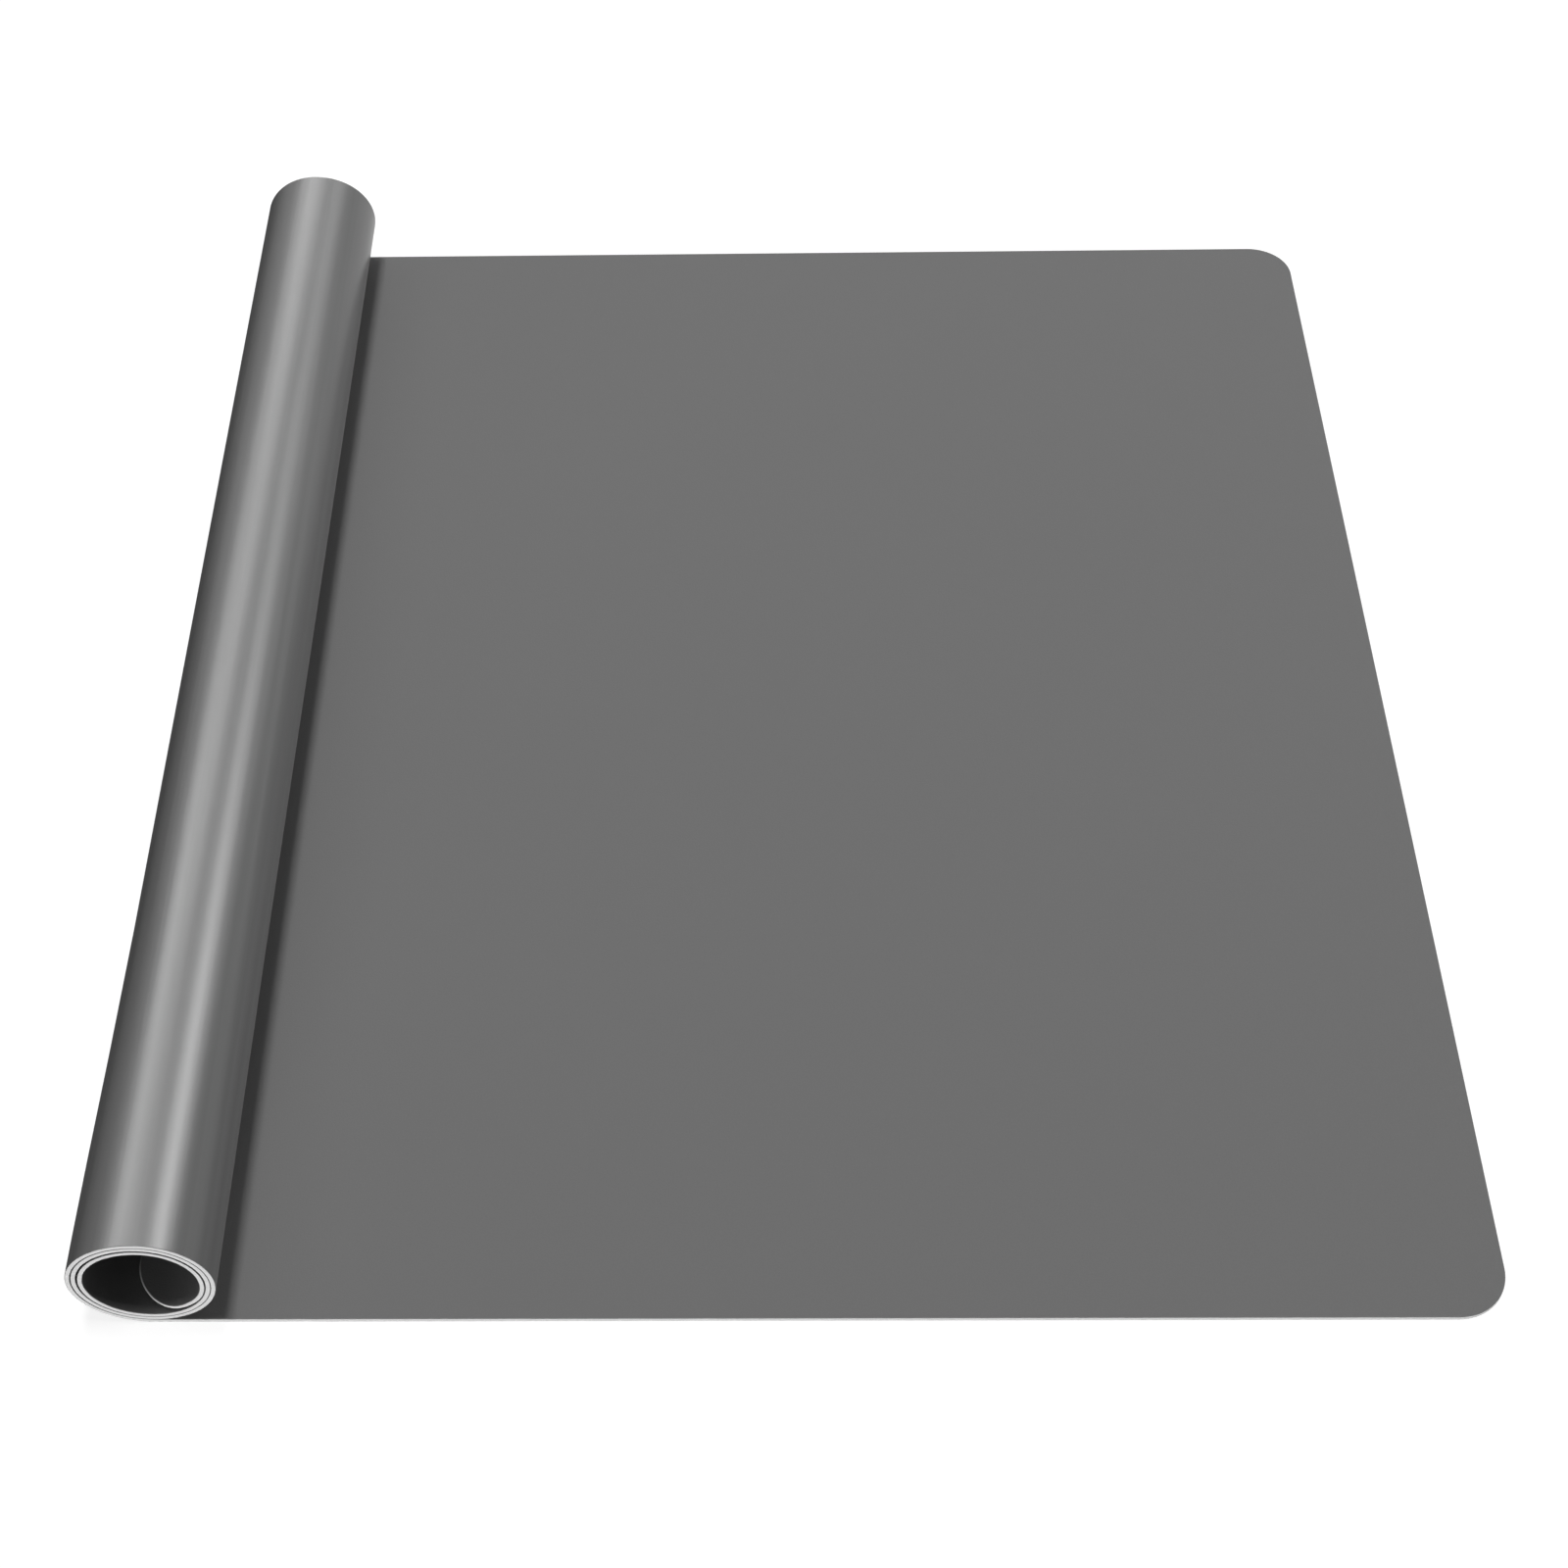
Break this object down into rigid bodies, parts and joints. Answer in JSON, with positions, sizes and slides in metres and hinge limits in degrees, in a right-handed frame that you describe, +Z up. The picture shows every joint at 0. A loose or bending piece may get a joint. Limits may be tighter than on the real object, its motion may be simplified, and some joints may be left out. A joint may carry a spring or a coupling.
{
  "type": "countertop mat",
  "caption": "Thin grey silicone sheet with rounded corners, lying flat with its left side still rolled up; the roll opens out flat and the free edge lifts and curls back.",
  "frame": {"origin": "middle of the mat's footprint on the counter, at counter level", "axes": "+X from the roll towards the free edge, +Y away from the viewer along the roll, +Z up from the counter"},
  "size_m": [0.3398, 0.4, 0.0347],
  "materials": {
    "silicone": "satin moulded silicone"
  },
  "bodies": {
    "sheet": {"spread_panel": "silicone", "lead_strip": "silicone"},
    "roll_strip_01": {"roll_strip_01": "silicone"},
    "roll_strip_02": {"roll_strip_02": "silicone"},
    "roll_strip_03": {"roll_strip_03": "silicone"},
    "roll_strip_04": {"roll_strip_04": "silicone"},
    "roll_strip_05": {"roll_strip_05": "silicone"},
    "roll_strip_06": {"roll_strip_06": "silicone"},
    "roll_strip_07": {"roll_strip_07": "silicone"},
    "roll_strip_08": {"roll_strip_08": "silicone"},
    "roll_strip_09": {"roll_strip_09": "silicone"},
    "roll_strip_10": {"roll_strip_10": "silicone"},
    "roll_strip_11": {"roll_strip_11": "silicone"},
    "roll_strip_12": {"roll_strip_12": "silicone"},
    "roll_strip_13": {"roll_strip_13": "silicone"},
    "roll_strip_14": {"roll_strip_14": "silicone"},
    "roll_strip_15": {"roll_strip_15": "silicone"},
    "roll_strip_16": {"roll_strip_16": "silicone"},
    "roll_strip_17": {"roll_strip_17": "silicone"},
    "roll_strip_18": {"roll_strip_18": "silicone"},
    "roll_strip_19": {"roll_strip_19": "silicone"},
    "roll_strip_20": {"roll_strip_20": "silicone"},
    "roll_strip_21": {"roll_strip_21": "silicone"},
    "roll_strip_22": {"roll_strip_22": "silicone"},
    "roll_strip_23": {"roll_strip_23": "silicone"},
    "roll_strip_24": {"roll_strip_24": "silicone"},
    "edge_strip_01": {"edge_strip_01": "silicone"},
    "edge_strip_02": {"edge_strip_02": "silicone"},
    "edge_strip_03": {"edge_strip_03": "silicone"},
    "edge_strip_04": {"edge_strip_04": "silicone"},
    "edge_strip_05": {"edge_strip_05": "silicone"},
    "edge_strip_06": {"edge_strip_06": "silicone"},
    "edge_strip_07": {"edge_strip_07": "silicone"},
    "edge_strip_08": {"edge_strip_08": "silicone"}
  },
  "joints": [
    {"name": "unroll", "type": "hinge", "parent": "sheet", "child": "roll_strip_01", "pos_m": [-0.15902, 0, 0.00149], "axis": [0, -1, 0], "range_deg": [0, 45]},
    {"name": "unroll_02", "type": "hinge", "parent": "roll_strip_01", "child": "roll_strip_02", "pos_m": [-0.16841, 0, 0.01089], "axis": [0, -1, 0], "range_deg": [0, 45]},
    {"name": "unroll_03", "type": "hinge", "parent": "roll_strip_02", "child": "roll_strip_03", "pos_m": [-0.16841, 0, 0.02405], "axis": [0, -1, 0], "range_deg": [0, 45]},
    {"name": "unroll_04", "type": "hinge", "parent": "roll_strip_03", "child": "roll_strip_04", "pos_m": [-0.1592, 0, 0.03325], "axis": [0, -1, 0], "range_deg": [0, 45]},
    {"name": "unroll_05", "type": "hinge", "parent": "roll_strip_04", "child": "roll_strip_05", "pos_m": [-0.14632, 0, 0.03324], "axis": [0, -1, 0], "range_deg": [0, 45]},
    {"name": "unroll_06", "type": "hinge", "parent": "roll_strip_05", "child": "roll_strip_06", "pos_m": [-0.13732, 0, 0.02423], "axis": [0, -1, 0], "range_deg": [0, 45]},
    {"name": "unroll_07", "type": "hinge", "parent": "roll_strip_06", "child": "roll_strip_07", "pos_m": [-0.13732, 0, 0.01163], "axis": [0, -1, 0], "range_deg": [0, 45]},
    {"name": "unroll_08", "type": "hinge", "parent": "roll_strip_07", "child": "roll_strip_08", "pos_m": [-0.14614, 0, 0.00282], "axis": [0, -1, 0], "range_deg": [0, 45]},
    {"name": "unroll_09", "type": "hinge", "parent": "roll_strip_08", "child": "roll_strip_09", "pos_m": [-0.15847, 0, 0.00282], "axis": [0, -1, 0], "range_deg": [0, 45]},
    {"name": "unroll_10", "type": "hinge", "parent": "roll_strip_09", "child": "roll_strip_10", "pos_m": [-0.16709, 0, 0.01144], "axis": [0, -1, 0], "range_deg": [0, 45]},
    {"name": "unroll_11", "type": "hinge", "parent": "roll_strip_10", "child": "roll_strip_11", "pos_m": [-0.16708, 0, 0.0235], "axis": [0, -1, 0], "range_deg": [0, 45]},
    {"name": "unroll_12", "type": "hinge", "parent": "roll_strip_11", "child": "roll_strip_12", "pos_m": [-0.15865, 0, 0.03192], "axis": [0, -1, 0], "range_deg": [0, 45]},
    {"name": "unroll_13", "type": "hinge", "parent": "roll_strip_12", "child": "roll_strip_13", "pos_m": [-0.14687, 0, 0.03192], "axis": [0, -1, 0], "range_deg": [0, 45]},
    {"name": "unroll_14", "type": "hinge", "parent": "roll_strip_13", "child": "roll_strip_14", "pos_m": [-0.13865, 0, 0.02368], "axis": [0, -1, 0], "range_deg": [0, 45]},
    {"name": "unroll_15", "type": "hinge", "parent": "roll_strip_14", "child": "roll_strip_15", "pos_m": [-0.13865, 0, 0.01218], "axis": [0, -1, 0], "range_deg": [0, 45]},
    {"name": "unroll_16", "type": "hinge", "parent": "roll_strip_15", "child": "roll_strip_16", "pos_m": [-0.14669, 0, 0.00414], "axis": [0, -1, 0], "range_deg": [0, 45]},
    {"name": "unroll_17", "type": "hinge", "parent": "roll_strip_16", "child": "roll_strip_17", "pos_m": [-0.15792, 0, 0.00415], "axis": [0, -1, 0], "range_deg": [0, 45]},
    {"name": "unroll_18", "type": "hinge", "parent": "roll_strip_17", "child": "roll_strip_18", "pos_m": [-0.16576, 0, 0.01199], "axis": [0, -1, 0], "range_deg": [0, 45]},
    {"name": "unroll_19", "type": "hinge", "parent": "roll_strip_18", "child": "roll_strip_19", "pos_m": [-0.16576, 0, 0.02295], "axis": [0, -1, 0], "range_deg": [0, 45]},
    {"name": "unroll_20", "type": "hinge", "parent": "roll_strip_19", "child": "roll_strip_20", "pos_m": [-0.1581, 0, 0.03059], "axis": [0, -1, 0], "range_deg": [0, 45]},
    {"name": "unroll_21", "type": "hinge", "parent": "roll_strip_20", "child": "roll_strip_21", "pos_m": [-0.14742, 0, 0.03059], "axis": [0, -1, 0], "range_deg": [0, 45]},
    {"name": "unroll_22", "type": "hinge", "parent": "roll_strip_21", "child": "roll_strip_22", "pos_m": [-0.13997, 0, 0.02313], "axis": [0, -1, 0], "range_deg": [0, 45]},
    {"name": "unroll_23", "type": "hinge", "parent": "roll_strip_22", "child": "roll_strip_23", "pos_m": [-0.13998, 0, 0.01273], "axis": [0, -1, 0], "range_deg": [0, 45]},
    {"name": "unroll_24", "type": "hinge", "parent": "roll_strip_23", "child": "roll_strip_24", "pos_m": [-0.14724, 0, 0.00547], "axis": [0, -1, 0], "range_deg": [0, 45]},
    {"name": "lift", "type": "hinge", "parent": "sheet", "child": "edge_strip_01", "pos_m": [0.00988, 0, 0.0006], "axis": [0, -1, 0], "range_deg": [0, 18]},
    {"name": "lift_02", "type": "hinge", "parent": "edge_strip_01", "child": "edge_strip_02", "pos_m": [0.02988, 0, 0.0006], "axis": [0, -1, 0], "range_deg": [0, 18]},
    {"name": "lift_03", "type": "hinge", "parent": "edge_strip_02", "child": "edge_strip_03", "pos_m": [0.04988, 0, 0.0006], "axis": [0, -1, 0], "range_deg": [0, 18]},
    {"name": "lift_04", "type": "hinge", "parent": "edge_strip_03", "child": "edge_strip_04", "pos_m": [0.06988, 0, 0.0006], "axis": [0, -1, 0], "range_deg": [0, 18]},
    {"name": "lift_05", "type": "hinge", "parent": "edge_strip_04", "child": "edge_strip_05", "pos_m": [0.08988, 0, 0.0006], "axis": [0, -1, 0], "range_deg": [0, 18]},
    {"name": "lift_06", "type": "hinge", "parent": "edge_strip_05", "child": "edge_strip_06", "pos_m": [0.10988, 0, 0.0006], "axis": [0, -1, 0], "range_deg": [0, 18]},
    {"name": "lift_07", "type": "hinge", "parent": "edge_strip_06", "child": "edge_strip_07", "pos_m": [0.12988, 0, 0.0006], "axis": [0, -1, 0], "range_deg": [0, 18]},
    {"name": "lift_08", "type": "hinge", "parent": "edge_strip_07", "child": "edge_strip_08", "pos_m": [0.14988, 0, 0.0006], "axis": [0, -1, 0], "range_deg": [0, 18]}
  ],
  "couplings": [
    {"joint": "unroll_02", "follows": "unroll", "ratio": 1},
    {"joint": "unroll_03", "follows": "unroll", "ratio": 1},
    {"joint": "unroll_04", "follows": "unroll", "ratio": 1},
    {"joint": "unroll_05", "follows": "unroll", "ratio": 1},
    {"joint": "unroll_06", "follows": "unroll", "ratio": 1},
    {"joint": "unroll_07", "follows": "unroll", "ratio": 1},
    {"joint": "unroll_08", "follows": "unroll", "ratio": 1},
    {"joint": "unroll_09", "follows": "unroll", "ratio": 1},
    {"joint": "unroll_10", "follows": "unroll", "ratio": 1},
    {"joint": "unroll_11", "follows": "unroll", "ratio": 1},
    {"joint": "unroll_12", "follows": "unroll", "ratio": 1},
    {"joint": "unroll_13", "follows": "unroll", "ratio": 1},
    {"joint": "unroll_14", "follows": "unroll", "ratio": 1},
    {"joint": "unroll_15", "follows": "unroll", "ratio": 1},
    {"joint": "unroll_16", "follows": "unroll", "ratio": 1},
    {"joint": "unroll_17", "follows": "unroll", "ratio": 1},
    {"joint": "unroll_18", "follows": "unroll", "ratio": 1},
    {"joint": "unroll_19", "follows": "unroll", "ratio": 1},
    {"joint": "unroll_20", "follows": "unroll", "ratio": 1},
    {"joint": "unroll_21", "follows": "unroll", "ratio": 1},
    {"joint": "unroll_22", "follows": "unroll", "ratio": 1},
    {"joint": "unroll_23", "follows": "unroll", "ratio": 1},
    {"joint": "unroll_24", "follows": "unroll", "ratio": 1},
    {"joint": "lift_02", "follows": "lift", "ratio": 1},
    {"joint": "lift_03", "follows": "lift", "ratio": 1},
    {"joint": "lift_04", "follows": "lift", "ratio": 1},
    {"joint": "lift_05", "follows": "lift", "ratio": 1},
    {"joint": "lift_06", "follows": "lift", "ratio": 1},
    {"joint": "lift_07", "follows": "lift", "ratio": 1},
    {"joint": "lift_08", "follows": "lift", "ratio": 1}
  ]
}
